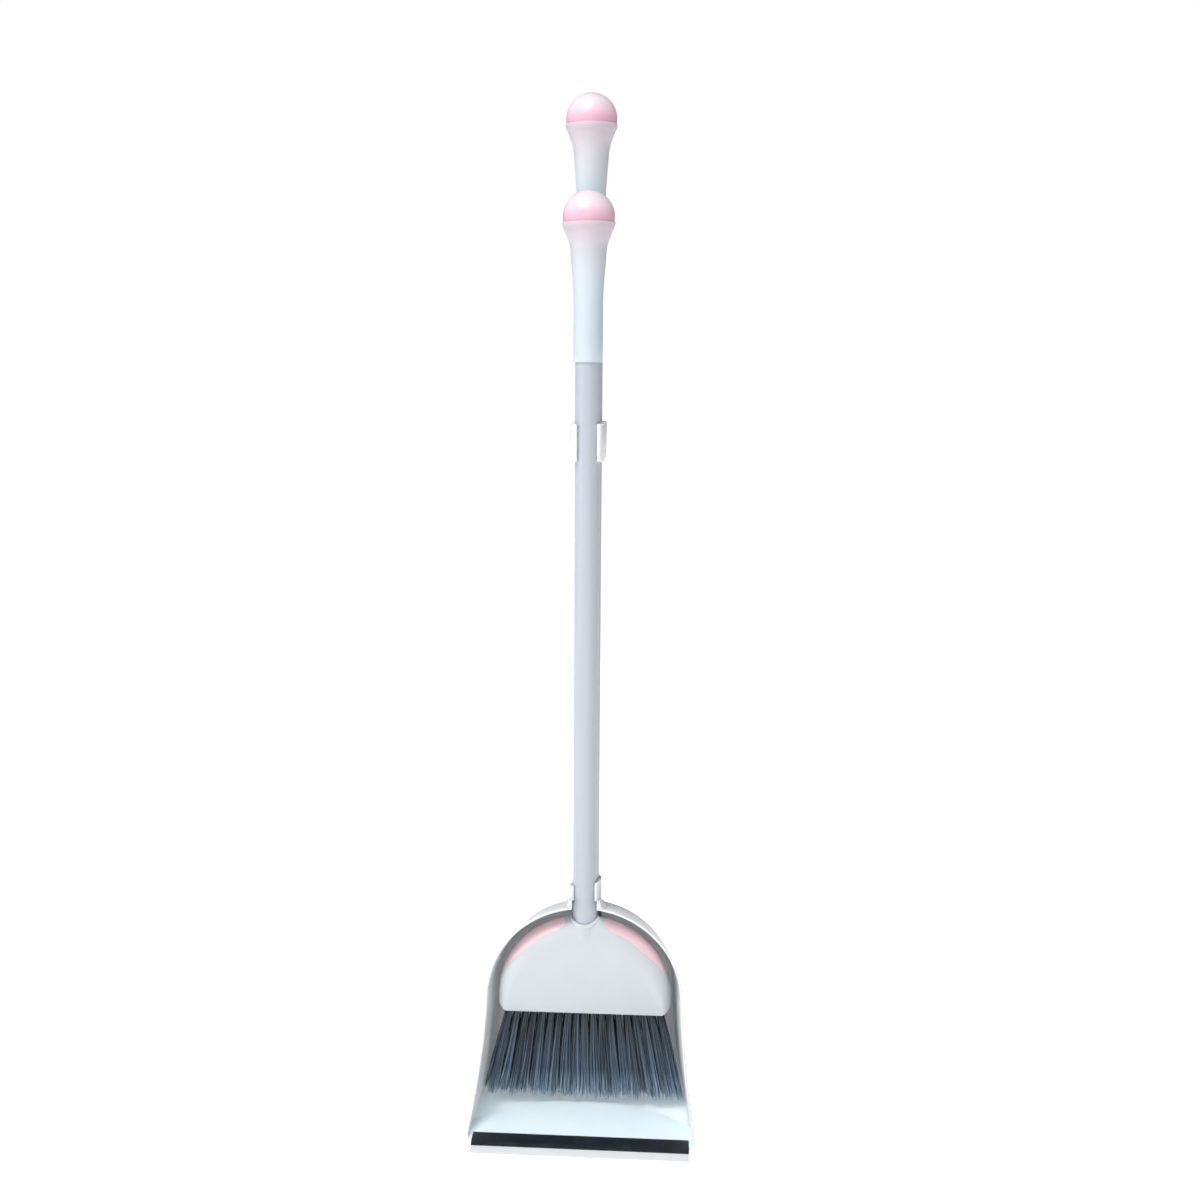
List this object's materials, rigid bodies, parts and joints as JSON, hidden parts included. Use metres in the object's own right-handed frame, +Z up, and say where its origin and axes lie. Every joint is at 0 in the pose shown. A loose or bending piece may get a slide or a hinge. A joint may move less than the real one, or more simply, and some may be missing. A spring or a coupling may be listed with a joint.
{
  "type": "dust pan and brush set",
  "caption": "Hooded standing dust pan on a long pole, with a long-handled fan brush clipped in front of its pole and its head stored in the pan.",
  "frame": {"origin": "middle of the set's footprint, on the ground that the pan's floor stands on", "axes": "+Z up along the poles, -Y the way the pan's mouth faces, +X to the right seen from in front of the mouth"},
  "size_m": [0.219, 0.1774, 0.975],
  "materials": {
    "white_plastic": "moulded polypropylene, satin",
    "white_lip": "soft moulded lip",
    "black_rubber": "matt extruded strip",
    "coated_tube": "light lilac-grey coating on a steel tube",
    "grey_plastic": "hidden moulded plastic",
    "sleeve_plastic": "satin moulded plastic, tinted pink at the flare",
    "pink_plastic": "clear pink moulded plastic",
    "zinc_steel": "zinc-plated screw",
    "grey_bristle": "grey-blue crimped filament with flagged tips"
  },
  "bodies": {
    "pan": {"pan_shell": "white_plastic", "lip_edge": "white_lip", "lip_rubber": "black_rubber", "neck_clip": "white_plastic", "pan_pole": "coated_tube", "pan_pole_plug": "grey_plastic", "pan_handle_sleeve": "sleeve_plastic", "pan_handle_ball": "pink_plastic"},
    "pole_clip": {"pole_clip": "white_plastic"},
    "brush_stick": {"brush_pole": "coated_tube", "brush_pole_plug": "grey_plastic", "brush_handle_sleeve": "sleeve_plastic", "brush_handle_ball": "pink_plastic"},
    "brush_head": {"head_cover": "white_plastic", "head_insert_left": "pink_plastic", "head_insert_right": "pink_plastic", "head_screw_1": "zinc_steel", "head_screw_2": "zinc_steel", "bristle_block": "grey_plastic", "bristle_row_1": "grey_bristle", "bristle_row_2": "grey_bristle", "bristle_row_3": "grey_bristle", "bristle_row_4": "grey_bristle"}
  },
  "joints": [
    {"name": "brush_lift_off", "type": "slide", "parent": "pan", "child": "brush_stick", "axis": [0, -1, 0], "range_m": [0, 0.25], "deforming": ["neck_clip", "pole_clip"]},
    {"name": "brush_turn", "type": "hinge", "parent": "brush_stick", "child": "brush_head", "pos_m": [0, 0.01635, 0.15], "axis": [0, 0, 1], "range_deg": [-6, 6]},
    {"name": "clip_slide", "type": "slide", "parent": "pan", "child": "pole_clip", "axis": [0, 0, 1], "range_m": [-0.35, 0.045]}
  ]
}
